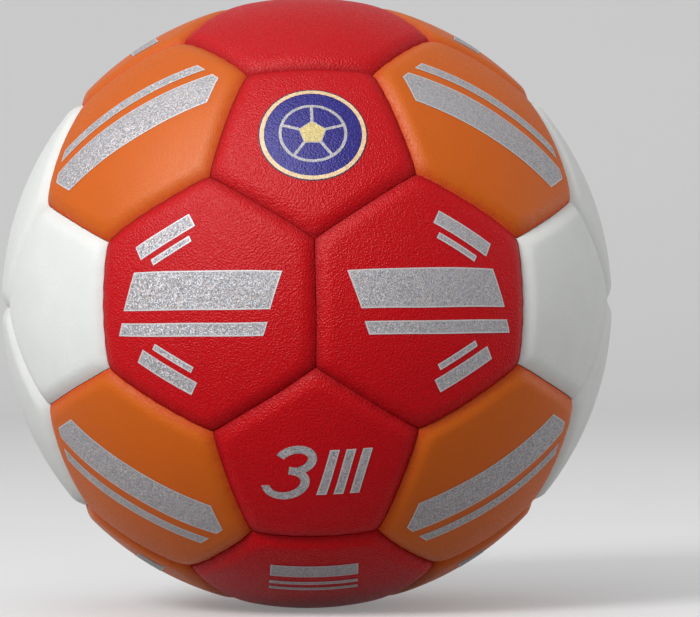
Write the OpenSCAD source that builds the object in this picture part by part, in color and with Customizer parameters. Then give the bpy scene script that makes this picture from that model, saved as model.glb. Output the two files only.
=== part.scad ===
// Hand-sewn handball of 20 hexagons and 12 pentagons over an inflated bladder.
// Each panel is leather on foam on a cloth lining, turned in along its seams
// and sewn edge to edge with waxed thread. The panels follow a truncated
// icosahedron. The origin is the ball's centre, +Z is up and the front is -Y.
// The sizes are in millimetres.

/* [Ball] */
// Girth of the inflated ball
girth = 590; // [510:5:600]

/* [Panels] */
// Thickness of the leather
cover_t = 1.3; // [1:0.1:1.6]
// Thickness of the foam under the leather
foam_t = 1.8; // [1.2:0.1:2.4]
// Thickness of the cloth lining under the foam
lining_t = 1.1; // [0.8:0.1:1.4]
// Space between two layers that are glued together
layer_gap = 0.05; // [0.03:0.01:0.1]
// Space between the turned-in edges of two panels
seam_gap = 0.2; // [0.1:0.05:0.4]
// Radius of the leather's bend along a seam
bend_r = 6; // [5.6:0.1:8]
// Width of that bend, from the edge of the panel
bend_w = 3.7; // [3.4:0.1:5.4]
// Reach of a turned-in edge below the lining
turn_in = 2.6; // [2.2:0.1:3.4]

/* [Seams] */
// Number of stitches in each seam
stitches = 6; // [4:1:7]
// Distance from a seam's end to its last stitch
stitch_end = 3.6; // [3.4:0.1:5]
// Diameter of the awl holes
awl_d = 1; // [0.9:0.05:1.2]
// Diameter of the thread where it passes through a hole
thread_d = 0.7; // [0.5:0.05:0.8]
// Width of the thread where it lies flat along the lining
thread_w = 0.9; // [0.85:0.05:1.1]
// Thickness of the thread where it lies flat
thread_flat = 0.45; // [0.3:0.05:0.6]
// Space between the lining and the thread
thread_gap = 0.1; // [0.05:0.05:0.3]

/* [Bladder] */
// Thickness of the bladder's wall
bladder_t = 0.9; // [0.6:0.1:1.4]
// Diameter of the balance patch, opposite the valve
balance_d = 34; // [26:1:38]
// Thickness of the balance patch
balance_t = 1.6; // [1:0.1:2]

/* [Valve] */
// Depth of the valve's top below the surface of the ball
valve_sink = 0.5; // [0.3:0.1:1]
// Diameter of the nose that shows in the hole of the leather
nose_d = 6.4; // [6:0.1:7]
// Diameter of the neck under the leather
neck_d = 9; // [8:0.1:11]
// Space between the neck and the leather over it
neck_gap = 0.3; // [0.2:0.05:0.5]
// Diameter of the tube that reaches into the bladder
tube_d = 7.4; // [7.1:0.1:7.8]
// Thickness of the floor under the core
tube_floor = 1.5; // [1:0.1:3]
// Diameter of the flange on the bladder
flange_d = 26; // [20:1:34]
// Thickness of the flange
flange_t = 1.2; // [0.8:0.1:1.6]
// Clearance around the valve in the holes of its panel
valve_gap = 0.2; // [0.1:0.05:0.4]
// Diameter of the cloth ring that backs the valve's hole
ring_d = 32; // [24:1:38]
// Thickness of that ring
ring_t = 0.6; // [0.4:0.1:0.8]

/* [Valve core] */
// Diameter of the core's head
head_d = 4.8; // [4.6:0.1:5.2]
// Thickness of the core's head
head_t = 1; // [0.8:0.1:1.6]
// Diameter of the core's shank
shank_d = 3.8; // [3.4:0.1:4.2]
// Length of the whole core
core_length = 13; // [11.5:0.5:16]
// Clearance between the core and its pocket
core_gap = 0.05; // [0.03:0.01:0.1]
// Diameter of the bore for an inflating needle
needle_d = 2.1; // [1.8:0.05:2.4]
// Depth of that bore
needle_depth = 9; // [6:0.5:10]
// Diameter of the countersunk mouth of the bore
mouth_d = 3.2; // [2.8:0.1:3.8]
// Depth of the countersunk mouth
mouth_depth = 0.6; // [0.3:0.1:1.2]

/* [Hidden] */
ball_r = girth / (2 * PI);
hexagon = 6;
pentagon = 5;
sphere_facets = 180;
ring_facets = 180;
small_facets = 48;
// How far the cutting shapes run past what they cut
past = 1;
reach = ball_r * 1.3;

// Radii of the layers, from the leather inward
foam_top = ball_r - cover_t - layer_gap;
foam_bottom = ball_r - cover_t - foam_t;
lining_top = foam_bottom - layer_gap;
lining_bottom = foam_bottom - lining_t;
turn_r = lining_bottom - turn_in;
bladder_r = turn_r - layer_gap;

// Centre of the bend's arc, out from the ball's centre and in from the seam.
// The arc cuts the sphere at a shallow angle, so the two never touch along a line.
bend_lift = 0.02;
bend_y = seam_gap / 2 + bend_w;
bend_x = sqrt(pow(ball_r - bend_r + bend_lift, 2) - pow(bend_y, 2));

// The lining's edge lies where its corner clears the leather's bend.
leather_in = seam_gap / 2 + cover_t + layer_gap;
bend_inner_r = bend_r - cover_t - layer_gap;
lining_rise = lining_top - bend_x;
bend_clear = bend_y - sqrt(max(0, pow(bend_inner_r, 2) - pow(lining_rise, 2)));
lining_side = max(leather_in, bend_clear);
lining_inner_side = lining_side + lining_t;

// The pentagons lie at the corners of an icosahedron, and the hexagons at the
// middles of its faces. A seam between two hexagons is the middle third of an edge.
golden = (1 + sqrt(5)) / 2;
corner_gap = 2;
signs = [-1, 1];
function unit(v) = v / norm(v);
near = corner_gap / 100;
function next_to(a, b) = abs(norm(a - b) - corner_gap) < near;
function holds(corners, way) = corners[0] == way || corners[1] == way || corners[2] == way;
pentagon_ways = concat(
    [for (a = signs) for (b = signs) [0, a * golden, b]],
    [for (a = signs) for (b = signs) [b, 0, a * golden]],
    [for (a = signs) for (b = signs) [a * golden, b, 0]]
);
last = len(pentagon_ways) - 1;
edge_pairs = [
    for (i = [0:last]) for (j = [0:last])
    let (a = pentagon_ways[i], b = pentagon_ways[j])
    if (i < j && next_to(a, b)) [a, b]
];
face_corners = [
    for (i = [0:last]) for (j = [0:last]) for (k = [0:last])
    let (a = pentagon_ways[i], b = pentagon_ways[j], c = pentagon_ways[k])
    if (i < j && j < k && next_to(a, b) && next_to(b, c) && next_to(c, a)) [a, b, c]
];
hexagon_ways = [for (f = face_corners) f[0] + f[1] + f[2]];

// Half the angle that a seam spans, and the tilt of a seam's plane to the
// middle of its panel
seam_ends = [
    unit(2 * edge_pairs[0][0] + edge_pairs[0][1]),
    unit(edge_pairs[0][0] + 2 * edge_pairs[0][1])
];
half_seam = asin(norm(seam_ends[0] - seam_ends[1]) / 2);
function side_tilt(sides) = asin(tan(half_seam) / tan(180 / sides));
bend_sweep = half_seam + 2;

// The stitches lie halfway down the turned-in edges.
stitch_r = turn_r + turn_in / 2;
stitch_reach = half_seam - stitch_end / stitch_r * 180 / PI;
stitch_step = 2 * stitch_reach / (stitches - 1);
thread_side = lining_inner_side + thread_gap;
thread_overhang = thread_w / 2 / stitch_r * 180 / PI;

// Heights along the valve's axis, from the ball's centre
valve_way = [golden, 1, 0];
valve_top = ball_r - valve_sink;
neck_top = ball_r - cover_t - neck_gap;
flange_bottom = bladder_r + layer_gap;
flange_top = flange_bottom + flange_t;
core_bottom = valve_top - core_length;
tube_bottom = core_bottom - tube_floor;
head_bottom = valve_top - head_t;
ring_top = lining_bottom - layer_gap;

crimson = [0.78, 0.04, 0.1];
orange = [0.87, 0.45, 0.2];
white = [0.93, 0.93, 0.92];

function two_digits(n) = str(n < 10 ? "0" : "", n);
function hexagon_name(k) = str("hexagon_cover_", two_digits(k + 1));
function pentagon_name(k) = str("pentagon_cover_", two_digits(k + 1));

// Turns its children so that +Z points one way and +X leans toward another.
module facing(out, toward) {
    z = unit(out);
    x = unit(toward - (toward * z) * z);
    y = cross(z, x);
    multmatrix([
        [x.x, y.x, z.x, 0],
        [x.y, y.y, z.y, 0],
        [x.z, y.z, z.z, 0],
        [0, 0, 0, 1]
    ]) children();
}

module at_hexagon(k) {
    facing(hexagon_ways[k], face_corners[k][0]) children();
}

// A pentagon's first side faces a hexagon that it touches.
module at_pentagon(k) {
    touching = [for (f = face_corners) if (holds(f, pentagon_ways[k])) f[0] + f[1] + f[2]];
    facing(pentagon_ways[k], touching[0]) children();
}

// A ball whose poles stay clear of the panel that it shapes
module globe(r) {
    rotate([90, 0, 0]) sphere(r, $fn = sphere_facets);
}

// The seam's own axes: +X to its middle, +Z into the panel
module at_side(sides, k) {
    rotate([0, 0, 360 / sides * k]) rotate([0, side_tilt(sides) - 90, 0]) children();
}

// A panel's share of a ball, whose sides lie at a distance from their seams
module wedge(sides, side, r) {
    intersection() {
        globe(r);
        intersection_for (k = [0:sides - 1]) {
            at_side(sides, k) translate([-reach, -reach, side]) cube([2 * reach, 2 * reach, reach]);
        }
    }
}

// What the bend takes off the edges of a panel that is drawn in by an amount
module bend_cuts(sides, inset) {
    for (k = [0:sides - 1]) {
        at_side(sides, k) rotate([0, 0, -bend_sweep])
        rotate_extrude(angle = 2 * bend_sweep, $fn = ring_facets) difference() {
            translate([bend_x, -past]) square([bend_r + past, bend_y + past]);
            translate([bend_x, bend_y]) circle(r = bend_r - inset, $fn = small_facets);
        }
    }
}

module bent_wedge(sides, inset) {
    difference() {
        wedge(sides, seam_gap / 2 + inset, ball_r - inset);
        bend_cuts(sides, inset);
    }
}

module at_stitches() {
    for (n = [0:stitches - 1]) {
        rotate([0, 0, stitch_step * n - stitch_reach]) translate([stitch_r, 0, 0]) children();
    }
}

module awl_holes(sides) {
    hole_length = 2 * (lining_inner_side + past);
    for (k = [0:sides - 1]) {
        at_side(sides, k) at_stitches() cylinder(d = awl_d, h = hole_length, center = true, $fn = small_facets);
    }
}

module leather(sides) {
    difference() {
        bent_wedge(sides, 0);
        bent_wedge(sides, cover_t);
        globe(turn_r);
        awl_holes(sides);
    }
}

module foam(sides) {
    difference() {
        bent_wedge(sides, cover_t + layer_gap);
        globe(foam_bottom);
    }
}

module lining(sides) {
    difference() {
        wedge(sides, lining_side, lining_top);
        wedge(sides, lining_inner_side, lining_bottom);
        globe(turn_r);
        awl_holes(sides);
    }
}

// A hole for the valve through the panel over it
module valve_hole(d) {
    translate([0, 0, turn_r]) cylinder(d = d + 2 * valve_gap, h = reach - turn_r, $fn = small_facets);
}

module hexagon_cover(k) {
    way = hexagon_ways[k];
    level = abs(way.y) < near;
    slanted = abs(abs(way.x) - abs(way.z)) < near;
    color(level ? white : slanted ? orange : crimson) at_hexagon(k) leather(hexagon);
}

module pentagon_cover(k) {
    way = pentagon_ways[k];
    color(way.x == 0 ? crimson : way.y == 0 ? orange : white) at_pentagon(k) difference() {
        leather(pentagon);
        if (way == valve_way) valve_hole(nose_d);
    }
}

module hexagon_foams() {
    color([0.85, 0.82, 0.7]) for (k = [0:len(hexagon_ways) - 1]) at_hexagon(k) foam(hexagon);
}

module pentagon_foams() {
    color([0.85, 0.82, 0.7]) for (k = [0:last]) at_pentagon(k) difference() {
        foam(pentagon);
        if (pentagon_ways[k] == valve_way) valve_hole(neck_d);
    }
}

module hexagon_linings() {
    color([0.9, 0.88, 0.82]) for (k = [0:len(hexagon_ways) - 1]) at_hexagon(k) lining(hexagon);
}

module pentagon_linings() {
    color([0.9, 0.88, 0.82]) for (k = [0:last]) at_pentagon(k) difference() {
        lining(pentagon);
        if (pentagon_ways[k] == valve_way) valve_hole(neck_d);
    }
}

// The stitches of one seam: a flat run of thread inside each edge, joined
// through the awl holes
module seam_thread() {
    at_stitches() cylinder(d = thread_d, h = 2 * thread_side + thread_flat, center = true, $fn = small_facets);
    for (half = [0, 1]) {
        mirror([0, 0, half]) rotate([0, 0, -stitch_reach - thread_overhang])
        rotate_extrude(angle = 2 * (stitch_reach + thread_overhang), $fn = ring_facets)
        translate([stitch_r - thread_w / 2, thread_side]) square([thread_w, thread_flat]);
    }
}

module hexagon_seam_threads() {
    color([0.92, 0.9, 0.85]) for (pair = edge_pairs) {
        // +X to the middle of the seam and +Y along it
        rise = unit(cross(pair[0], pair[1]));
        facing(rise, pair[0] + pair[1]) seam_thread();
    }
}

module pentagon_seam_threads() {
    color([0.92, 0.9, 0.85]) for (k = [0:last]) at_pentagon(k) {
        for (n = [0:pentagon - 1]) at_side(pentagon, n) seam_thread();
    }
}

module bladder() {
    color([0.12, 0.12, 0.12]) difference() {
        globe(bladder_r);
        globe(bladder_r - bladder_t);
        facing(valve_way, [0, 0, 1]) cylinder(d = tube_d + 2 * layer_gap, h = reach, $fn = small_facets);
    }
}

// A disc that follows the bladder between two radii
module curved_disc(d, inner, outer) {
    intersection() {
        cylinder(d = d, h = reach, $fn = small_facets);
        difference() {
            globe(outer);
            globe(inner);
        }
    }
}

module balance_patch() {
    color([0.2, 0.2, 0.2]) facing(-valve_way, [0, 0, 1]) curved_disc(balance_d, flange_bottom, flange_bottom + balance_t);
}

module valve_ring() {
    color([0.9, 0.88, 0.82]) facing(valve_way, [0, 0, 1]) difference() {
        curved_disc(ring_d, ring_top - ring_t, ring_top);
        cylinder(d = neck_d + 2 * valve_gap, h = reach, $fn = small_facets);
    }
}

module valve_body() {
    color([0.1, 0.1, 0.1]) facing(valve_way, [0, 0, 1]) difference() {
        union() {
            curved_disc(flange_d, flange_bottom, flange_top);
            translate([0, 0, flange_bottom]) cylinder(d = neck_d, h = neck_top - flange_bottom, $fn = small_facets);
            translate([0, 0, neck_top - past]) cylinder(d = nose_d, h = valve_top - neck_top + past, $fn = small_facets);
            translate([0, 0, tube_bottom]) cylinder(d = tube_d, h = neck_top - tube_bottom - past, $fn = small_facets);
        }
        rotate_extrude($fn = small_facets) polygon([
            [0, core_bottom - core_gap],
            [shank_d / 2 + core_gap, core_bottom - core_gap],
            [shank_d / 2 + core_gap, head_bottom - core_gap],
            [head_d / 2 + core_gap, head_bottom - core_gap],
            [head_d / 2 + core_gap, valve_top + past],
            [0, valve_top + past]
        ]);
    }
}

module valve_core() {
    color([0.25, 0.25, 0.27]) facing(valve_way, [0, 0, 1]) rotate_extrude($fn = small_facets) polygon([
        [0, core_bottom],
        [shank_d / 2, core_bottom],
        [shank_d / 2, head_bottom],
        [head_d / 2, head_bottom],
        [head_d / 2, valve_top],
        [mouth_d / 2, valve_top],
        [needle_d / 2, valve_top - mouth_depth],
        [needle_d / 2, valve_top - needle_depth],
        [0, valve_top - needle_depth]
    ]);
}

for (k = [0:len(hexagon_ways) - 1]) {
    hexagon_cover(k);
}
for (k = [0:last]) {
    pentagon_cover(k);
}
hexagon_foams();
pentagon_foams();
hexagon_linings();
pentagon_linings();
hexagon_seam_threads();
pentagon_seam_threads();
bladder();
balance_patch();
valve_ring();
valve_body();
valve_core();
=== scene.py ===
"""A hand-sewn handball: pillowed leather panels with printed silver bands."""
import math

import bpy
import numpy as np
from mathutils import Matrix, Vector, geometry


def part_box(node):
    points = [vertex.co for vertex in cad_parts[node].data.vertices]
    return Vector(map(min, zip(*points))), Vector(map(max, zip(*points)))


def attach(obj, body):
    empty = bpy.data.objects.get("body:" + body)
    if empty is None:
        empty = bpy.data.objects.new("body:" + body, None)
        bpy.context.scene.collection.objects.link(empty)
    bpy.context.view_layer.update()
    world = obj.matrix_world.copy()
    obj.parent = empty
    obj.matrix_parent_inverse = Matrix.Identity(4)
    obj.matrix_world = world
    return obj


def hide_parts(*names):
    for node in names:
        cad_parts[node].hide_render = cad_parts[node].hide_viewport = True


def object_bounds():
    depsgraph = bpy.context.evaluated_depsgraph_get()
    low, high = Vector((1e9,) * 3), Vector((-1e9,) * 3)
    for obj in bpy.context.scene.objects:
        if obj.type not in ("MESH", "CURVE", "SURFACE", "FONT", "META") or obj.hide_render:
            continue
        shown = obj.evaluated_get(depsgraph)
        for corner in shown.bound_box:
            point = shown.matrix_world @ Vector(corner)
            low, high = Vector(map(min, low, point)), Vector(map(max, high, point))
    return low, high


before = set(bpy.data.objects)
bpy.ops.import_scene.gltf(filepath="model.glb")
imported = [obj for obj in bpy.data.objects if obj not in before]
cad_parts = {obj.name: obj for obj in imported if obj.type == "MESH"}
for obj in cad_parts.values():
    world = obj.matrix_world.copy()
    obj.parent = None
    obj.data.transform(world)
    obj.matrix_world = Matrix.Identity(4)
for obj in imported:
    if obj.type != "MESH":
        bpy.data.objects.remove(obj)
cad_low, cad_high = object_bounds()

# Real sizes in metres. The ball's centre is the origin and its front is -Y.
MM = 0.001
GIRTH = 590 * MM
BALL_R = GIRTH / math.tau
COVER_T = 1.3 * MM
NOSE_HOLE_R = 3.4 * MM
LIP_R = 0.5 * MM
UP = (0, 0, 1)

# A seam: how wide the leather bends, how deep the valley is and where the
# turned-in edge runs straight down and ends
BEND_W = 4.7 * MM
BEND_SHAPE = 1.7
SEAM_DEPTH = 1.8 * MM
SEAM_GAP = 0.11 * MM
WALL_DEPTH = SEAM_DEPTH + 1.2 * MM
TURN_DEPTH = 6.8 * MM
PIT_DEPTH = 1 * MM
CORNER_BLEND = 1.1 * MM

# What hand sewing does to the leather: stitches pucker it, panels swell and
# the whole drawing warps, each over a length of its own
STITCH_PITCH = 6.1 * MM
PUCKER = 0.16 * MM
PUCKER_REACH = 2.2 * MM
BULGE = 0.1 * MM
BULGE_SIZE = 60 * MM
BULGE_SEED = 5
WARP = 0.35 * MM
WARP_SIZE = 34 * MM
WARP_SEED = 3
WAVES = 6

# The rings of points on a panel. Shares are of BEND_W, counted from the seam.
# BEND_START and UNDER_MIDDLE are angles, and FIRST_RING is a share of the face.
SAMPLES_PER_SIDE = 30
FACE_RINGS = 9
FIRST_RING = 0.11
FLAT_EDGE = 1.7
SHOULDER_SHARES = [1.35, 1.1]
BEND_RINGS = 11
BEND_START = 0.1
UNDER_SHARES = [COVER_T / BEND_W, 0.45, 1.0, 2.0]
UNDER_MIDDLE = 0.03

# The rounded lip of the valve's hole: how far out, in lip radii, and how far down
LIP = [(0.0, COVER_T), (0.0, LIP_R), (0.13, 0.5 * LIP_R), (0.5, 0.13 * LIP_R), (1.0, 0.0)]
LIP_END = 2

# Print: how high film and ink stand over the leather, the film's smooth border
# and the dark line round the badge
FILM_LIFT = 0.09 * MM
INK_LIFT = 0.05 * MM
LAYER = 0.02 * MM
BORDER_W = 0.4 * MM
INK_LINE = 0.4 * MM

# The meshes of the print, fine enough to follow the ball. INSIDE_ONLY makes the
# triangulation keep only the triangles inside the outline.
FILM_STEP = 2.2 * MM
RIM_STEP = 0.6 * FILM_STEP
RIM_CLEARANCE = 0.3
BORDER_STEP = 1.2 * MM
RIBBON_PARTS = 3
SPOKE_POINTS = 5
INSIDE_ONLY = 1
TOLERANCE = 1e-9

# Bands on the orange panels: how far in from the seams, and between which heights
HEXAGON_INSET = 8.5 * MM
HEXAGON_BANDS = [(-3 * MM, 9 * MM), (-10.5 * MM, -6.5 * MM)]
PENTAGON_INSET = 7.5 * MM
PENTAGON_BAND = (-4 * MM, 5 * MM)
BAR_SLANT = 0.35

# The badge: a ball drawn in a ring, on a round field with a cream rim
BADGE_R = 16 * MM
FIELD_R = BADGE_R - 0.1 * MM
RIM_W = 1.3 * MM
RING_R = 9.6 * MM
SPOKE_END = 9.4 * MM
MARK_LINE = 0.9 * MM
HEART_R = 3.9 * MM
HEART_LINE = 0.7 * MM

# The size numeral and the strokes beside it
DIGIT_LINE = 2.6 * MM
DIGIT_WIDTH = 1.25
DIGIT_SLANT = 0.25
STROKE_PLACES = [(3.5 + 4.9 * n) * MM for n in range(3)]

# Colours as linear values
CRIMSON = (0.525, 0.001, 0.005)
ORANGE = (0.60, 0.113, 0.005)
# Painted shade and painted red bounce light: the orange turns darker and redder down in its seams
ORANGE_SEAM_SHADE = (0.52, 0.035, 0.003)
WHITE = (0.785, 0.80, 0.78)
# Painted shade: the white turns greyer down in its seams
WHITE_SEAM_SHADE = (0.72, 0.72, 0.70)
SILVER = (0.53, 0.515, 0.515)
SILVER_WARM = (0.66, 0.54, 0.49)
SILVER_COOL = (0.44, 0.52, 0.65)
INK = (0.03, 0.02, 0.035)
BADGE_BLUE = (0.022, 0.016, 0.20)
CREAM = (0.86, 0.62, 0.36)
PALE_GOLD = (0.72, 0.58, 0.24)
FOAM_PITS = (0.5, 0.46, 0.34)
FOAM_WALLS = (0.66, 0.62, 0.48)
LINING = (0.66, 0.62, 0.52)
THREAD_DARK = (0.55, 0.52, 0.44)
THREAD_PALE = (0.8, 0.77, 0.68)
BLADDER_BLACK = (0.02, 0.02, 0.02)
VALVE_BLACK = (0.03, 0.03, 0.032)
CORE_BLACK = (0.055, 0.055, 0.06)
PAPER_COOL = (0.62, 0.62, 0.63)
PAPER_PALE = (0.66, 0.66, 0.66)
PAPER_BOUNCE = (0.24, 0.24, 0.24)
PLAIN_WHITE = (1, 1, 1, 1)

# How large the detail of each material is, and how far from a seam, in
# millimetres, the shade painted into the leather's colour reaches
GRAIN = 0.5 * MM
GLITTER = 0.27 * MM
DRIFT = 9 * MM
WEAR = 1.3 * MM
RAGGED = 0.9 * MM
WEAVE = 0.6 * MM
TWIST = 0.5 * MM
BUBBLE = 0.4 * MM
SEAM_SHADE_REACH = 2.3

# Noise lies mostly between these two values
NOISE_LOW = 0.3
NOISE_HIGH = 0.7

# The photograph's frame, in pixels, and how the ball sits in it
IMAGE_W = 700
IMAGE_H = 617
AXIS_X = 306.9
AXIS_Y = 303.0
RADIUS_PX = 305.0
CAMERA_DISTANCE = 14 * BALL_R
TURN_RIGHT = 0.0275
LEAN = -0.0103
SENSOR_W = 36
CLIP_START = 0.01

# Stage: a sweep of paper, and the light of the room round it
FLOOR_Z = cad_low[2]
FLOOR_NEAR = 3.0
FLOOR_FAR = 2.2
FLOOR_SIDE = 4.0
WALL_TOP = 3.5
CURVE_R = 1.0
CURVE_STEPS = 24
PAPER_CLOUD = 0.4
PAPER_SHEEN = 0.05
PAPER_FIBRE = 0.002
PAPER_RELIEF = 0.0001
PAPER_GLOW = 0.2
WORLD_LIGHT = 0.55
WORLD_SEEN = 0.68

# Corners of the layout's solids: neighbours are 2 apart, coordinates closer
# than NEAR are equal, and directions with a cosine over SAME_WAY are the same
GOLDEN = (1 + math.sqrt(5)) / 2
CORNER_GAP = 2
NEAR = 0.01
SAME_WAY = 0.999


# Panel layout

def unit(v):
    return np.asarray(v, float) / np.linalg.norm(v)


def touching(a, b):
    return abs(np.linalg.norm(np.subtract(a, b)) - CORNER_GAP) < NEAR


def pentagon_ways():
    """Corners of an icosahedron: crimson, orange and white, four of each"""
    signs = [(a, b) for a in (-1, 1) for b in (-1, 1)]
    ways = [(0, a * GOLDEN, b) for a, b in signs]
    ways += [(b, 0, a * GOLDEN) for a, b in signs]
    ways += [(a * GOLDEN, b, 0) for a, b in signs]
    return ways


PENTAGONS = pentagon_ways()
FACES = [
    (a, b, c)
    for i, a in enumerate(PENTAGONS)
    for j, b in enumerate(PENTAGONS)
    for k, c in enumerate(PENTAGONS)
    if i < j < k and touching(a, b) and touching(b, c) and touching(a, c)
]
HEXAGONS = [tuple(np.sum(f, axis=0)) for f in FACES]


def half_seam():
    """Half of the angle that one seam spans, seen from the ball's centre"""
    a, b = FACES[0][:2]
    one_end = unit(np.add(np.multiply(2, a), b))
    other_end = unit(np.add(np.multiply(2, b), a))
    return math.asin(np.linalg.norm(one_end - other_end) / 2)


HALF_SEAM = half_seam()


def side_tilt(sides):
    """Angle between a panel's axis and the plane of any of its seams"""
    return math.asin(math.tan(HALF_SEAM) / math.tan(math.pi / sides))


def smooth_noise(points, size, seed):
    """A gentle wave field of three values between -1 and 1 for each point"""
    rng = np.random.default_rng(seed)
    total = np.zeros((len(points), 3))
    for _ in range(WAVES):
        wave = rng.normal(size=(3, 3)) * (math.tau / size / math.sqrt(3))
        phase = rng.uniform(0, math.tau, 3)
        total += np.sin(points @ wave.T + phase)
    return total / WAVES


class Panel:
    """One panel: its axes, its seam planes and the height of its leather"""

    def __init__(self, name, way, toward, sides):
        self.name = name
        self.sides = sides
        self.tilt = side_tilt(sides)
        z = unit(way)
        x = unit(np.asarray(toward, float) - np.dot(toward, z) * z)
        self.way = z
        self.axes = np.column_stack([x, np.cross(z, x), z])
        turns = np.arange(sides) * math.tau / sides
        lean = math.cos(self.tilt)
        rise = math.sin(self.tilt)
        normals = [(-lean * math.cos(t), -lean * math.sin(t), rise) for t in turns]
        middles = [(rise * math.cos(t), rise * math.sin(t), lean) for t in turns]
        tangents = [(-math.sin(t), math.cos(t), 0) for t in turns]
        self.normals = np.array(normals) @ self.axes.T
        self.middles = np.array(middles) @ self.axes.T
        self.tangents = np.array(tangents) @ self.axes.T

    def at_angle(self, azimuths, alphas):
        """World directions at angles round the axis and away from it"""
        out = np.sin(alphas)
        local = np.column_stack([out * np.cos(azimuths), out * np.sin(azimuths), np.cos(alphas)])
        return local @ self.axes.T

    def alphas(self, azimuths, inset):
        """Angles from the axis at which a line lies at an inset from the seams"""
        sector = math.tau / self.sides
        off = azimuths - np.round(azimuths / sector) * sector
        a = math.sin(self.tilt)
        b = math.cos(self.tilt) * np.cos(off)
        return np.arccos(inset / BALL_R / np.hypot(a, b)) - np.arctan2(b, a)

    def on_plane(self, points):
        """World directions of points drawn on the panel's flat pattern"""
        points = np.asarray(points, float)
        flat = np.column_stack([points, np.full(len(points), BALL_R)])
        ways = flat @ self.axes.T
        return ways / np.linalg.norm(ways, axis=1)[:, None]

    def seam_distance(self, ways):
        """Distance to the nearest seam, with the corners blended"""
        d = BALL_R * ways @ self.normals.T
        low = d.min(axis=1)
        crowd = np.exp(-(d - low[:, None]) / CORNER_BLEND).sum(axis=1)
        return low - CORNER_BLEND * np.log(crowd)

    def stitch_pull(self, ways, distance):
        """How much a stitch of the nearest seam draws the leather in, from -1 to 1"""
        near = (BALL_R * ways @ self.normals.T).argmin(axis=1)
        along = BALL_R * np.arctan2(
            np.einsum("ij,ij->i", ways, self.tangents[near]),
            np.einsum("ij,ij->i", ways, self.middles[near]),
        )
        reach = BALL_R * HALF_SEAM
        fade = np.clip((reach - np.abs(along)) / STITCH_PITCH, 0, 1)
        fall = np.exp(-np.clip(distance, 0, None) / PUCKER_REACH)
        return np.cos(math.tau * along / STITCH_PITCH) * fade * fall

    def height(self, ways):
        """Radius of the leather's surface"""
        s = self.seam_distance(ways)
        s = s + PUCKER * self.stitch_pull(ways, s)
        t = np.clip(s / BEND_W, 0, 1)
        sunk = SEAM_DEPTH * (1 - t) ** BEND_SHAPE
        pit = np.clip(-s, 0, PIT_DEPTH)
        swell = smooth_noise(ways * BALL_R, BULGE_SIZE, BULGE_SEED)[:, 0] * BULGE * t
        return BALL_R + swell - sunk - pit

    def points(self, ways, radii):
        """World points, drawn slightly out of true as hand sewing leaves them"""
        drift = smooth_noise(ways * BALL_R, WARP_SIZE, WARP_SEED) * WARP
        drift -= np.einsum("ij,ij->i", drift, ways)[:, None] * ways
        return ways * np.asarray(radii)[:, None] + drift


def mesh_object(name, points, faces, material, seam=None):
    """A smooth object, with each point's distance to its seam if that is given"""
    mesh = bpy.data.meshes.new(name)
    mesh.from_pydata([tuple(p) for p in points], [], faces)
    mesh.materials.append(material)
    mesh.shade_smooth()
    if seam is not None:
        layer = mesh.attributes.new("seam", "FLOAT", "POINT")
        layer.data.foreach_set("value", np.asarray(seam, np.float32))
    mesh.update()
    obj = bpy.data.objects.new(name, mesh)
    bpy.context.scene.collection.objects.link(obj)
    return obj


def strip_faces(rows, columns):
    """Quads between rings of points, each ring closed on itself"""
    faces = []
    for r in range(rows - 1):
        here = r * columns
        there = here + columns
        for c in range(columns):
            n = (c + 1) % columns
            faces.append((here + c, here + n, there + n, there + c))
    return faces


# Materials

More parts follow.
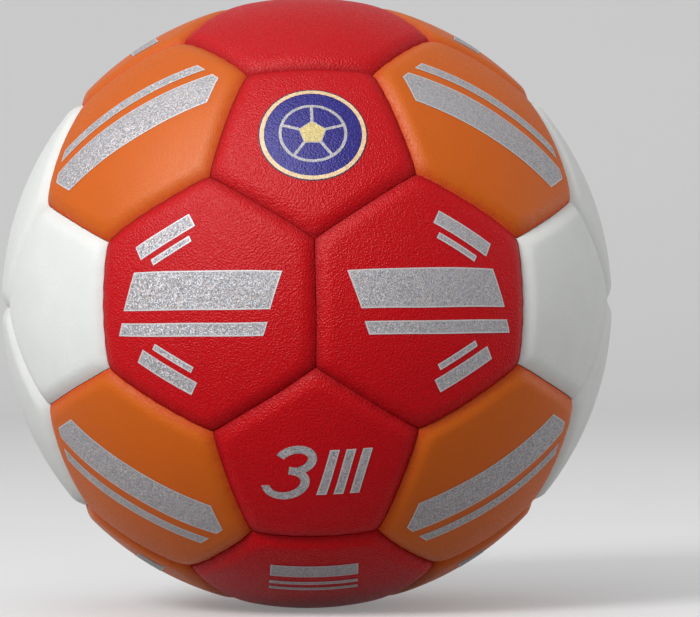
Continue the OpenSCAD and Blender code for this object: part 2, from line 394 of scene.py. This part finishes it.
class Shader:
    """Short names for the nodes of one material. A length in it is in metres."""

    def __init__(self, name):
        self.material = bpy.data.materials.new(name)
        self.material.use_nodes = True
        tree = self.material.node_tree
        self.nodes = tree.nodes
        self.links = tree.links
        self.bsdf = self.nodes["Principled BSDF"]
        self.place = self.nodes.new("ShaderNodeTexCoord").outputs["Object"]

    def add(self, kind, inputs=None, **settings):
        node = self.nodes.new("ShaderNode" + kind)
        for key, value in settings.items():
            setattr(node, key, value)
        for key, value in (inputs or {}).items():
            self.feed(node.inputs[key], value)
        return node

    def feed(self, socket, value):
        if isinstance(value, bpy.types.NodeSocket):
            self.links.new(value, socket)
        else:
            socket.default_value = value

    def feed_color(self, socket, value):
        self.feed(socket, value if isinstance(value, bpy.types.NodeSocket) else (*value, 1))

    def noise(self, size, detail=2.0):
        inputs = {"Vector": self.place, "Scale": 1 / size, "Detail": detail}
        return self.add("TexNoise", inputs).outputs["Fac"]

    def cells(self, size, output="Distance", feature="F1"):
        node = self.add("TexVoronoi", {"Vector": self.place, "Scale": 1 / size}, feature=feature)
        return node.outputs[output]

    def ramp(self, value, low, high, to_low=0.0, to_high=1.0):
        inputs = {"Value": value, "From Min": low, "From Max": high, "To Min": to_low, "To Max": to_high}
        return self.add("MapRange", inputs).outputs["Result"]

    def varied(self, size, to_low=0.0, to_high=1.0, detail=2.0):
        """A value that wanders between two limits over the surface"""
        return self.ramp(self.noise(size, detail), NOISE_LOW, NOISE_HIGH, to_low, to_high)

    def pebbles(self, low=0.12, high=0.62):
        """The leather's grain: 1 on a pebble and 0 between two"""
        return self.ramp(self.cells(GRAIN, feature="SMOOTH_F1"), low, high, 1.0, 0.0)

    def calculate(self, operation, a, b=0.0):
        return self.add("Math", {0: a, 1: b}, operation=operation).outputs[0]

    def total(self, first, *others):
        for value in others:
            first = self.calculate("ADD", first, value)
        return first

    def vector(self, operation, a, b=(0, 0, 0)):
        return self.add("VectorMath", {0: a, 1: b}, operation=operation).outputs[0]

    def blend(self, factor, a, b):
        node = self.add("Mix", {"Factor": factor}, data_type="RGBA")
        self.feed_color(node.inputs["A"], a)
        self.feed_color(node.inputs["B"], b)
        return node.outputs["Result"]

    def bump(self, height, distance, normal=None):
        inputs = {"Height": height, "Distance": distance}
        if normal is not None:
            inputs["Normal"] = normal
        return self.add("Bump", inputs).outputs["Normal"]

    def finish(self, color, roughness, normal, **settings):
        self.feed(self.bsdf.inputs["Base Color"], color)
        self.feed(self.bsdf.inputs["Roughness"], roughness)
        self.feed(self.bsdf.inputs["Normal"], normal)
        for key, value in settings.items():
            self.feed(self.bsdf.inputs[key.replace("_", " ")], value)
        return self.material


def scaled(color, amount):
    return tuple(min(1, c * amount) for c in color)


def leather(name, color, seam_shade, grain_depth, speckle, rough, gloss_level):
    """Pebbled leather with shade painted into its colour down in the seams, where it is also duller"""
    s = Shader(name)
    pebbles = s.pebbles()
    shade = s.blend(s.varied(DRIFT), scaled(color, 0.97), scaled(color, 1.03))
    mottle = s.blend(s.ramp(pebbles, 0.0, 0.7), scaled(color, 1 - speckle), shade)
    seam = s.add("Attribute", attribute_name="seam").outputs["Fac"]
    ragged = s.total(seam, s.ramp(s.noise(RAGGED, 3), 0.2, 0.8, -0.9, 0.9))
    # Painted shade: near each seam the colour turns to the darker seam colour
    tone = s.blend(s.ramp(ragged, 0.0, SEAM_SHADE_REACH, 0.7, 0.0), mottle, seam_shade)
    worn = s.varied(WEAR, rough - 0.06, rough + 0.04, detail=3)
    creases = s.ramp(pebbles, 0.1, 0.8, 0.16, 0.0)
    down = s.ramp(ragged, 0.0, 1.2, 0.3, 0.0)
    gloss = s.total(worn, creases, down)
    return s.finish(tone, gloss, s.bump(pebbles, grain_depth), Specular_IOR_Level=gloss_level)


def silver_film(name, low, tilt):
    """Hot-stamped silver film that glitters, its flakes each at a tilt of their own"""
    s = Shader(name)
    pebbles = s.pebbles()
    flakes = s.cells(GLITTER, "Color")
    parts = s.add("SeparateColor", {"Color": flakes}).outputs
    centred = s.vector("ADD", flakes, (-0.5, -0.5, -0.5))
    lean = s.vector("MULTIPLY", centred, (tilt, tilt, tilt))
    facing = s.add("NewGeometry").outputs["Normal"]
    tilted = s.vector("NORMALIZE", s.vector("ADD", facing, lean))
    tint = s.blend(parts["Green"], SILVER_WARM, SILVER_COOL)
    tops = s.blend(parts["Red"], scaled(SILVER, low), tint)
    tone = s.blend(s.ramp(pebbles, 0.0, 0.5, 0.75, 1.0), scaled(SILVER, low), tops)
    normal = s.bump(pebbles, 0.015 * MM, tilted)
    gloss = s.varied(0.7 * MM, 0.5, 0.6)
    return s.finish(tone, gloss, normal, Metallic=0.15, Specular_IOR_Level=0.3)


def ink(name, color, rough=0.42):
    """Screen ink over the grain of the leather"""
    s = Shader(name)
    pebbles = s.pebbles(0.1, 0.75)
    shade = s.blend(s.varied(1.8 * MM, detail=4), scaled(color, 0.8), scaled(color, 1.15))
    tone = s.blend(s.ramp(pebbles, 0.0, 0.5), scaled(color, 0.72), shade)
    gloss = s.varied(1.1 * MM, rough - 0.06, rough + 0.08, detail=3)
    return s.finish(tone, gloss, s.bump(pebbles, 0.09 * MM), Specular_IOR_Level=0.18)


def rubber(name, color, rough):
    """Moulded rubber, dull and slightly uneven"""
    s = Shader(name)
    tone = s.blend(s.noise(3 * MM, 4), scaled(color, 0.7), scaled(color, 1.4))
    gloss = s.varied(0.8 * MM, rough - 0.08, rough + 0.08, detail=3)
    return s.finish(tone, gloss, s.bump(s.noise(0.35 * MM, 4), 0.02 * MM))


def cloth(name, color, thread):
    """Plain weave"""
    s = Shader(name)
    axes = s.add("SeparateXYZ", {"Vector": s.place}).outputs
    turns = [s.calculate("MULTIPLY", axes[axis], math.tau / thread) for axis in "XYZ"]
    waves = [s.calculate("SINE", turn) for turn in turns]
    weave = s.total(s.calculate("MULTIPLY", waves[0], waves[1]), waves[2])
    tone = s.blend(s.ramp(weave, -1.0, 1.0), scaled(color, 0.7), color)
    return s.finish(tone, s.varied(2 * MM, 0.75, 0.9), s.bump(weave, 0.08 * MM))


def foam(name):
    """Open bubbles in pale foam"""
    s = Shader(name)
    bubbles = s.cells(BUBBLE)
    tone = s.blend(s.ramp(bubbles, 0.0, 0.8), FOAM_PITS, FOAM_WALLS)
    return s.finish(tone, s.varied(2 * MM, 0.8, 0.92), s.bump(bubbles, 0.06 * MM))


def waxed_thread(name):
    """Twisted thread with a dull shine of wax"""
    s = Shader(name)
    inputs = {"Vector": s.place, "Scale": 0.5 / TWIST, "Distortion": 1.5}
    twist = s.add("TexWave", inputs).outputs["Fac"]
    tone = s.blend(twist, THREAD_DARK, THREAD_PALE)
    return s.finish(tone, s.varied(1 * MM, 0.4, 0.55), s.bump(twist, 0.05 * MM))


LEATHERS = {
    # The crimson's seam colour, 0.6 as bright, is painted shade
    "crimson": leather(
        "crimson_leather", CRIMSON, seam_shade=scaled(CRIMSON, 0.6),
        grain_depth=0.15 * MM, speckle=0.02, rough=0.34, gloss_level=0.11,
    ),
    # The orange's seam colour is painted shade and red bounce light
    "orange": leather(
        "orange_leather", ORANGE, seam_shade=ORANGE_SEAM_SHADE,
        grain_depth=0.035 * MM, speckle=0.02, rough=0.36, gloss_level=0.15,
    ),
    # The white's seam colour is painted shade
    "white": leather(
        "white_leather", WHITE, seam_shade=WHITE_SEAM_SHADE,
        grain_depth=0.02 * MM, speckle=0.015, rough=0.4, gloss_level=0.1,
    ),
}
FILM = silver_film("silver_film", low=0.42, tilt=0.85)
FILM_PLAIN = silver_film("pressed_film", low=1.0, tilt=0.1)
INK_DARK = ink("print_outline", INK)
INK_BLUE = ink("badge_blue", BADGE_BLUE, rough=0.36)
INK_CREAM = ink("badge_cream", CREAM, rough=0.4)
INK_GOLD = ink("badge_gold", PALE_GOLD, rough=0.4)


# The leather panels

def ring_azimuths(sides):
    """Azimuths that step evenly along each side"""
    step = np.arange(SAMPLES_PER_SIDE) / SAMPLES_PER_SIDE * 2 - 1
    within = np.arctan(step * math.tan(math.pi / sides))
    return np.concatenate([within + k * math.tau / sides for k in range(sides)])


def panel_rows(panel, azimuths, hole_r):
    """Rings of world points from the middle of the face, over the bend and down
    the turned-in edge, then back along the underside to the middle"""
    rows = []
    seams = []

    def add(alphas, drop=0.0, depth=None):
        """A ring below the leather's surface by a drop, or below the ball's by a depth"""
        ways = panel.at_angle(azimuths, alphas)
        if depth is None:
            radii = panel.height(ways) - drop
        else:
            radii = np.full(len(ways), BALL_R - depth)
        rows.append(panel.points(ways, radii))
        seams.append(panel.seam_distance(ways) / MM)

    def from_seam(inset):
        return panel.alphas(azimuths, inset)

    start = np.full(len(azimuths), math.asin(hole_r / BALL_R))
    first = start
    if hole_r:
        for out, down in LIP:
            add(start + out * LIP_R / BALL_R, drop=down)
        first = start + LIP_END * LIP_R / BALL_R
    flat_edge = from_seam(FLAT_EDGE * BEND_W)
    for t in np.linspace(0 if hole_r else FIRST_RING, 1, FACE_RINGS):
        add(first + (flat_edge - first) * t)
    bend_turns = np.linspace(BEND_START, math.pi / 2, BEND_RINGS)
    for share in SHOULDER_SHARES + [1 - math.sin(turn) for turn in bend_turns]:
        add(from_seam(max(share * BEND_W, SEAM_GAP)))
    for depth in (WALL_DEPTH, TURN_DEPTH):
        add(from_seam(SEAM_GAP), depth=depth)
    add(from_seam(COVER_T), depth=TURN_DEPTH)
    for share in UNDER_SHARES:
        add(from_seam(share * BEND_W), drop=COVER_T)
    add(np.maximum(start, UNDER_MIDDLE), drop=COVER_T)
    return rows, seams


def leather_panel(panel, shade, hole_r):
    """A panel's leather as one closed mesh, with the valve's hole if it has one"""
    azimuths = ring_azimuths(panel.sides)
    count = len(azimuths)
    rows, seams = panel_rows(panel, azimuths, hole_r)
    faces = strip_faces(len(rows), count)
    points = np.concatenate(rows)
    seam = np.concatenate(seams)
    last = (len(rows) - 1) * count
    pairs = [(c, (c + 1) % count) for c in range(count)]
    if hole_r:
        faces += [(last + a, last + b, b, a) for a, b in pairs]
    else:
        middle = panel.way[None, :]
        radius = panel.height(middle)
        top = len(points)
        under = top + 1
        ends = [panel.points(middle, radius), panel.points(middle, radius - COVER_T)]
        points = np.concatenate([points, *ends])
        seam = np.concatenate([seam, panel.seam_distance(middle).repeat(2) / MM])
        faces += [(top, b, a) for a, b in pairs]
        faces += [(under, last + a, last + b) for a, b in pairs]
    faces = [face[::-1] for face in faces]
    return mesh_object(panel.name + "_leather", points, faces, LEATHERS[shade], seam)


def hexagon_shade(way):
    if abs(way[1]) < NEAR:
        return "white"
    return "orange" if abs(abs(way[0]) - abs(way[2])) < NEAR else "crimson"


def pentagon_shade(way):
    if way[0] == 0:
        return "crimson"
    return "orange" if way[1] == 0 else "white"


def node_way(node):
    """Direction from the ball's centre to the middle of a CAD node's box"""
    low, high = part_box(node)
    return unit(np.add(low, high))


def nearest(node, ways):
    """Which of the directions a CAD node lies in"""
    middle = node_way(node)
    return max(range(len(ways)), key=lambda n: float(np.dot(unit(ways[n]), middle)))


def make_panel(node):
    """The panel that stands for a CAD cover, and its colour"""
    if node.startswith("hexagon"):
        which = nearest(node, HEXAGONS)
        way = HEXAGONS[which]
        return Panel(node, way, FACES[which][0], sides=6), hexagon_shade(way)
    way = PENTAGONS[nearest(node, PENTAGONS)]
    toward = next(h for h, f in zip(HEXAGONS, FACES) if way in f)
    return Panel(node, way, toward, sides=5), pentagon_shade(way)


def way_key(way):
    return tuple(np.round(unit(way), 3))


def make_covers():
    """A leather panel in place of every CAD cover"""
    panels = {}
    valve = node_way("valve_core")
    for node in sorted(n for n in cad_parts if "_cover_" in n):
        panel, shade = make_panel(node)
        hole = NOSE_HOLE_R if np.dot(panel.way, valve) > SAME_WAY else 0.0
        piece = leather_panel(panel, shade, hole)
        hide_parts(node)
        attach(piece, "root")
        panels[way_key(panel.way)] = panel
    return panels


PANELS = make_covers()


# Printed film and ink

class Pattern:
    """A flat pattern on one panel: +Y of the drawing points up to a direction"""

    def __init__(self, way, up):
        self.panel = PANELS[way_key(way)]
        z = unit(way)
        y = unit(np.asarray(up, float) - np.dot(up, z) * z)
        x = np.cross(y, z)
        self.turn = np.array([[np.dot(v, self.panel.axes[:, n]) for n in (0, 1)] for v in (x, y)])

    def place(self, points, lift):
        ways = self.panel.on_plane(np.asarray(points) @ self.turn)
        return self.panel.points(ways, self.panel.height(ways) + lift)


def between(a, b, share):
    """The point at a share of the way from one point to another"""
    return tuple(np.add(a, np.subtract(b, a) * share))


def clipped(polygon, normal, limit):
    """The part of a convex polygon whose points lie within a half plane"""
    kept = []
    for n, point in enumerate(polygon):
        before = polygon[n - 1]
        here = np.dot(point, normal) - limit
        there = np.dot(before, normal) - limit
        if (here <= 0) != (there <= 0):
            kept.append(between(before, point, there / (there - here)))
        if here <= 0:
            kept.append(tuple(point))
    return kept


def outward(a, b):
    """The unit normal to the right of a side, which is outside an anticlockwise polygon"""
    along = unit(b - a)
    return np.array([along[1], -along[0]])


def grown(polygon, by):
    """A convex polygon, drawn anticlockwise, with its sides moved outward"""
    moved = []
    count = len(polygon)
    for n in range(count):
        a, b, c = (np.array(polygon[(n + k) % count]) for k in (-1, 0, 1))
        before = outward(a, b)
        after = outward(b, c)
        moved.append(tuple(b + (before + after) * (by / (1 + np.dot(before, after)))))
    return moved


def inside_by(polygon, n, point):
    """How far a point lies inside one side of an anticlockwise polygon"""
    a = np.array(polygon[n])
    b = np.array(polygon[(n + 1) % len(polygon)])
    along = unit(b - a)
    off = np.array(point) - a
    return along[0] * off[1] - along[1] * off[0]


def filled(polygon):
    """Triangles over a polygon, fine enough to follow the ball"""
    rim = []
    count = len(polygon)
    for n, point in enumerate(polygon):
        following = polygon[(n + 1) % count]
        parts = max(1, int(math.dist(point, following) / RIM_STEP))
        rim += [between(point, following, k / parts) for k in range(parts)]
    low = np.min(rim, axis=0)
    high = np.max(rim, axis=0)
    clearance = FILM_STEP * RIM_CLEARANCE
    inner = []
    for y in np.arange(low[1] + FILM_STEP / 2, high[1], FILM_STEP):
        for x in np.arange(low[0] + FILM_STEP / 2, high[0], FILM_STEP):
            if all(inside_by(polygon, n, (x, y)) > clearance for n in range(count)):
                inner.append((x, y))
    edges = [(n, (n + 1) % len(rim)) for n in range(len(rim))]
    flat = [Vector(p) for p in rim + inner]
    corners, _, triangles = geometry.delaunay_2d_cdt(flat, edges, [], INSIDE_ONLY, TOLERANCE)[:3]
    return [tuple(corner) for corner in corners], [tuple(triangle) for triangle in triangles]


class Sheet:
    """Collects flat drawings into one mesh of film or ink"""

    def __init__(self, name, material, lift):
        self.name = name
        self.material = material
        self.lift = lift
        self.points = []
        self.faces = []

    def add(self, pattern, points, faces):
        start = len(self.points)
        self.points += [tuple(p) for p in pattern.place(points, self.lift)]
        self.faces += [tuple(start + i for i in f) for f in faces]

    def polygon(self, pattern, outline):
        self.add(pattern, *filled(outline))

    def border(self, pattern, inner, outer):
        """A border between two polygons with as many corners"""
        points = []
        faces = []
        for n in range(len(inner)):
            m = (n + 1) % len(inner)
            parts = max(1, int(math.dist(inner[n], inner[m]) / BORDER_STEP))
            start = len(points)
            for k in range(parts + 1):
                points += [between(ring[n], ring[m], k / parts) for ring in (inner, outer)]
            for first in range(start, start + 2 * parts, 2):
                faces.append((first, first + 1, first + 3, first + 2))
        self.add(pattern, points, faces)

    def ribbon(self, pattern, line, width, closed=False):
        """A band along a line of points"""
        line = np.asarray(line, float)
        ahead = np.roll(line, -1, axis=0) - line
        behind = line - np.roll(line, 1, axis=0)
        if not closed:
            ahead[-1], behind[0] = behind[-1], ahead[0]
        run = sum(steps / np.linalg.norm(steps, axis=1)[:, None] for steps in (ahead, behind))
        run /= np.linalg.norm(run, axis=1)[:, None]
        left = np.column_stack([-run[:, 1], run[:, 0]])
        shares = [k / RIBBON_PARTS - 0.5 for k in range(RIBBON_PARTS + 1)]
        points = np.stack([line + left * (width * share) for share in shares], axis=1).reshape(-1, 2)
        columns = RIBBON_PARTS + 1
        faces = []
        for n in range(len(line) if closed else len(line) - 1):
            here = n * columns
            there = ((n + 1) % len(line)) * columns
            for k in range(RIBBON_PARTS):
                faces.append((here + k + 1, here + k, there + k, there + k + 1))
        self.add(pattern, points, faces)

    def make(self):
        piece = mesh_object(self.name, self.points, self.faces, self.material)
        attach(piece, "root")


outline_ink = Sheet("print_outline", INK_DARK, INK_LIFT)
film = Sheet("silver_film", FILM, FILM_LIFT)
film_edge = Sheet("film_edge", FILM_PLAIN, FILM_LIFT + LAYER)
badge_field = Sheet("badge_field", INK_BLUE, INK_LIFT + LAYER)
badge_rim = Sheet("badge_rim", INK_CREAM, FILM_LIFT + LAYER)
badge_mark = Sheet("badge_mark", FILM, FILM_LIFT + LAYER)
badge_heart = Sheet("badge_heart", INK_GOLD, FILM_LIFT + 2 * LAYER)


def stamp(pattern, polygon):
    """A silver shape with its smooth pressed border"""
    film.polygon(pattern, polygon)
    film_edge.border(pattern, grown(polygon, -BORDER_W), polygon)


def panel_outline(sides, inset):
    """A panel's flat outline, drawn in from its seams, with a side at the top"""
    apothem = BALL_R * math.tan(side_tilt(sides)) - inset
    corner = apothem / math.cos(math.pi / sides)
    turns = [math.pi / 2 + math.pi / sides + k * math.tau / sides for k in range(sides)]
    return [(corner * math.cos(t), corner * math.sin(t)) for t in turns]


def strip(outline, low, high):
    """The slice of an outline between two heights"""
    return clipped(clipped(outline, (0, 1), high), (0, -1), -low)


def bar(centre, length, height, slant=0.0):
    """The corners of a bar whose ends lean by a slant"""
    x, y = centre
    half = length / 2
    tall = height / 2
    shift = slant * tall
    return [
        (x - half - shift, y - tall),
        (x + half - shift, y - tall),
        (x + half + shift, y + tall),
        (x - half + shift, y + tall),
    ]


def circle(radius, count=72, turn=0.0):
    turns = [turn + k * math.tau / count for k in range(count)]
    return [(radius * math.cos(t), radius * math.sin(t)) for t in turns]


def arc(centre, radius, start, end, count=28):
    """Points along an arc between two angles in degrees"""
    turns = np.radians(np.linspace(start, end, count))
    return [(centre[0] + radius * math.cos(t), centre[1] + radius * math.sin(t)) for t in turns]


def print_orange_hexagon(way):
    """Two bands that cross the panel along the seam with its crimson neighbour"""
    crimson = (np.sign(way[0]) / GOLDEN, np.sign(way[1]) * GOLDEN, 0)
    pattern = Pattern(way, crimson)
    outline = panel_outline(sides=6, inset=HEXAGON_INSET)
    for low, high in HEXAGON_BANDS:
        stamp(pattern, strip(outline, low, high))


def print_orange_pentagon(way):
    """A band along the seam with the white neighbour"""
    outline = panel_outline(sides=5, inset=PENTAGON_INSET)
    stamp(Pattern(way, (way[0], 0, 0)), strip(outline, *PENTAGON_BAND))


def print_crimson_hexagon(way):
    """A pair of level bars, and short bars along the seams with the orange panels"""
    pattern = Pattern(way, UP)
    lean = BAR_SLANT * (1 if way[0] * way[1] > 0 else -1)
    stamp(pattern, bar((0, 4 * MM), length=47 * MM, height=11.5 * MM, slant=lean))
    stamp(pattern, bar((-lean * 10.5 * MM, -7.5 * MM), length=47 * MM, height=4 * MM, slant=lean))
    for up in (-1, 1):
        orange = (np.sign(way[0]), np.sign(way[1]), up)
        corner = Pattern(way, orange)
        stamp(corner, bar((0, 23.5 * MM), length=20 * MM, height=4.6 * MM))
        stamp(corner, bar((0, 18.4 * MM), length=14 * MM, height=2 * MM))


def print_low_bars(way):
    """A bar and two thin lines in the outer half of each of the two lowest panels"""
    pattern = Pattern(way, (0, way[1], 0))
    stamp(pattern, bar((0, 18 * MM), length=27 * MM, height=7 * MM))
    stamp(pattern, bar((0, 10 * MM), length=27 * MM, height=2 * MM))
    stamp(pattern, bar((0, 5.5 * MM), length=27 * MM, height=2 * MM))


def print_badge(way):
    """A round badge: a ball drawn as a pentagon with five spokes in a ring"""
    pattern = Pattern(way, UP)
    outline_ink.ribbon(pattern, circle(BADGE_R), INK_LINE, closed=True)
    badge_field.polygon(pattern, circle(FIELD_R))
    badge_rim.ribbon(pattern, circle(BADGE_R - RIM_W / 2 - INK_LINE / 2), RIM_W, closed=True)
    badge_mark.ribbon(pattern, circle(RING_R), MARK_LINE, closed=True)
    heart = circle(HEART_R, count=5, turn=math.pi / 2)
    badge_heart.polygon(pattern, heart)
    badge_mark.ribbon(pattern, heart, HEART_LINE, closed=True)
    for corner in heart:
        reach = unit(corner)
        spoke = [tuple(reach * r) for r in np.linspace(HEART_R, SPOKE_END, SPOKE_POINTS)]
        badge_mark.ribbon(pattern, spoke, MARK_LINE)


def print_numeral(way):
    """The plain size numeral 3, leaning a little, beside three strokes that lean as much"""
    pattern = Pattern(way, UP)
    upper = arc((-5.7 * MM, 4.3 * MM), radius=3.8 * MM, start=165, end=-90)
    lower = arc((-6.4 * MM, -3.8 * MM), radius=4.6 * MM, start=90, end=-165)
    for line in (upper, lower):
        leaning = [(DIGIT_WIDTH * x + DIGIT_SLANT * y, y) for x, y in line]
        film.ribbon(pattern, leaning, DIGIT_LINE)
    for x in STROKE_PLACES:
        stamp(pattern, bar((x, 0), length=2.9 * MM, height=15.4 * MM, slant=DIGIT_SLANT))


def print_hexagons():
    for way in HEXAGONS:
        shade = hexagon_shade(way)
        if shade == "orange":
            print_orange_hexagon(way)
        elif shade == "crimson" and abs(way[2]) < NEAR:
            print_crimson_hexagon(way)
        elif shade == "crimson" and way[2] < 0:
            print_low_bars(way)


def print_pentagons():
    for way in PENTAGONS:
        shade = pentagon_shade(way)
        if shade == "orange":
            print_orange_pentagon(way)
        elif shade == "crimson" and way[2] > 0:
            print_badge(way)
        elif shade == "crimson":
            print_numeral(way)


print_hexagons()
print_pentagons()
for sheet in (outline_ink, film, film_edge, badge_field, badge_rim, badge_mark, badge_heart):
    sheet.make()


# Finish of the carried-over CAD pieces

def finish_cad_pieces():
    foam_finish = foam("foam")
    cloth_finish = cloth("lining_cloth", LINING, WEAVE)
    thread_finish = waxed_thread("waxed_thread")
    bladder_finish = rubber("bladder_rubber", BLADDER_BLACK, rough=0.5)
    finishes = {
        "hexagon_foams": foam_finish,
        "pentagon_foams": foam_finish,
        "hexagon_linings": cloth_finish,
        "pentagon_linings": cloth_finish,
        "valve_ring": cloth_finish,
        "hexagon_seam_threads": thread_finish,
        "pentagon_seam_threads": thread_finish,
        "bladder": bladder_finish,
        "balance_patch": bladder_finish,
        "valve_body": rubber("valve_rubber", VALVE_BLACK, rough=0.42),
        "valve_core": rubber("valve_core_rubber", CORE_BLACK, rough=0.38),
    }
    for node, finish in finishes.items():
        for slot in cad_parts[node].material_slots:
            slot.material = finish


finish_cad_pieces()


# Stage, light and camera

def seen_rays(nodes, links):
    """1 where the stage is looked at, straight or in a reflection, and 0 where it lights"""
    path = nodes.new("ShaderNodeLightPath").outputs
    total = path["Is Camera Ray"]
    for name in ("Is Glossy Ray", "Is Transmission Ray"):
        both = nodes.new("ShaderNodeMath")
        both.operation = "MAXIMUM"
        links.new(total, both.inputs[0])
        links.new(path[name], both.inputs[1])
        total = both.outputs[0]
    return total


def make_world():
    """Even light from all round, and a pale room where it is looked at"""
    world = bpy.data.worlds.new("studio")
    world.use_nodes = True
    nodes = world.node_tree.nodes
    links = world.node_tree.links
    strength = nodes.new("ShaderNodeMapRange")
    links.new(seen_rays(nodes, links), strength.inputs["Value"])
    strength.inputs["To Min"].default_value = WORLD_LIGHT
    strength.inputs["To Max"].default_value = WORLD_SEEN
    links.new(strength.outputs["Result"], nodes["Background"].inputs["Strength"])
    nodes["Background"].inputs["Color"].default_value = PLAIN_WHITE
    bpy.context.scene.world = world


def paper():
    """Pale paper that throws little light back on the ball"""
    s = Shader("pale_paper")
    seen = seen_rays(s.nodes, s.links)
    pale = s.blend(s.noise(PAPER_CLOUD), PAPER_COOL, PAPER_PALE)
    tone = s.blend(seen, PAPER_BOUNCE, pale)
    s.finish(tone, s.varied(PAPER_SHEEN, 0.8, 0.9), s.bump(s.noise(PAPER_FIBRE), PAPER_RELIEF))
    s.feed(s.bsdf.inputs["Emission Color"], PLAIN_WHITE)
    s.feed(s.bsdf.inputs["Emission Strength"], s.ramp(seen, 0.0, 1.0, 0.0, PAPER_GLOW))
    return s.material


def make_stage():
    """A pale floor that curves up into a backdrop"""
    profile = [(-FLOOR_NEAR, 0.0), (FLOOR_FAR, 0.0)]
    for n in range(1, CURVE_STEPS + 1):
        turn = math.pi / 2 * n / CURVE_STEPS
        profile.append((FLOOR_FAR + CURVE_R * math.sin(turn), CURVE_R * (1 - math.cos(turn))))
    profile.append((FLOOR_FAR + CURVE_R, WALL_TOP))
    points = [(x, y, FLOOR_Z + z) for y, z in profile for x in (-FLOOR_SIDE, FLOOR_SIDE)]
    faces = [(2 * n, 2 * n + 1, 2 * n + 3, 2 * n + 2) for n in range(len(profile) - 1)]
    mesh_object("paper_sweep", points, faces, paper())


def area_light(name, place, size, watts, hidden_from=None):
    """A round lamp that faces the ball, left out of one kind of ray if that is named"""
    data = bpy.data.lights.new(name, "AREA")
    data.shape = "DISK"
    data.size = size
    data.energy = watts
    obj = bpy.data.objects.new(name, data)
    obj.location = place
    obj.rotation_euler = Vector(place).to_track_quat("Z", "Y").to_euler()
    if hidden_from:
        setattr(obj, "visible_" + hidden_from, False)
    bpy.context.scene.collection.objects.link(obj)


def make_lights():
    """The key light lights the ball, and a larger softbox beside it gives the broad shine"""
    area_light("key_light", (-1.1, -1.45, 1.14), size=0.8, watts=30.5, hidden_from="glossy")
    area_light("side_light", (1.85, 0.5, 0.15), size=1.2, watts=6.5)
    area_light("softbox", (-0.92, -1.2, 1.38), size=2.2, watts=130, hidden_from="diffuse")


def make_camera():
    """The ball turned and leaning as photographed, seen by a level camera"""
    turn = Matrix.Rotation(LEAN, 3, "Y") @ Matrix.Rotation(TURN_RIGHT, 3, "Z")
    level = Matrix(((1, 0, 0), (0, 0, -1), (0, 1, 0)))
    data = bpy.data.cameras.new("camera")
    focal_px = RADIUS_PX * math.sqrt((CAMERA_DISTANCE / BALL_R) ** 2 - 1)
    data.sensor_width = SENSOR_W
    data.lens = focal_px / IMAGE_W * data.sensor_width
    data.shift_x = (IMAGE_W / 2 - AXIS_X) / IMAGE_W
    data.shift_y = (AXIS_Y - IMAGE_H / 2) / IMAGE_W
    data.clip_start = CLIP_START
    camera = bpy.data.objects.new("camera", data)
    camera.matrix_world = (turn.transposed() @ level).to_4x4()
    camera.location = turn.transposed() @ Vector((0, -CAMERA_DISTANCE, 0))
    bpy.context.scene.collection.objects.link(camera)
    bpy.context.scene.camera = camera


make_stage()
make_world()
make_lights()
make_camera()
bpy.context.scene.view_settings.view_transform = "Standard"
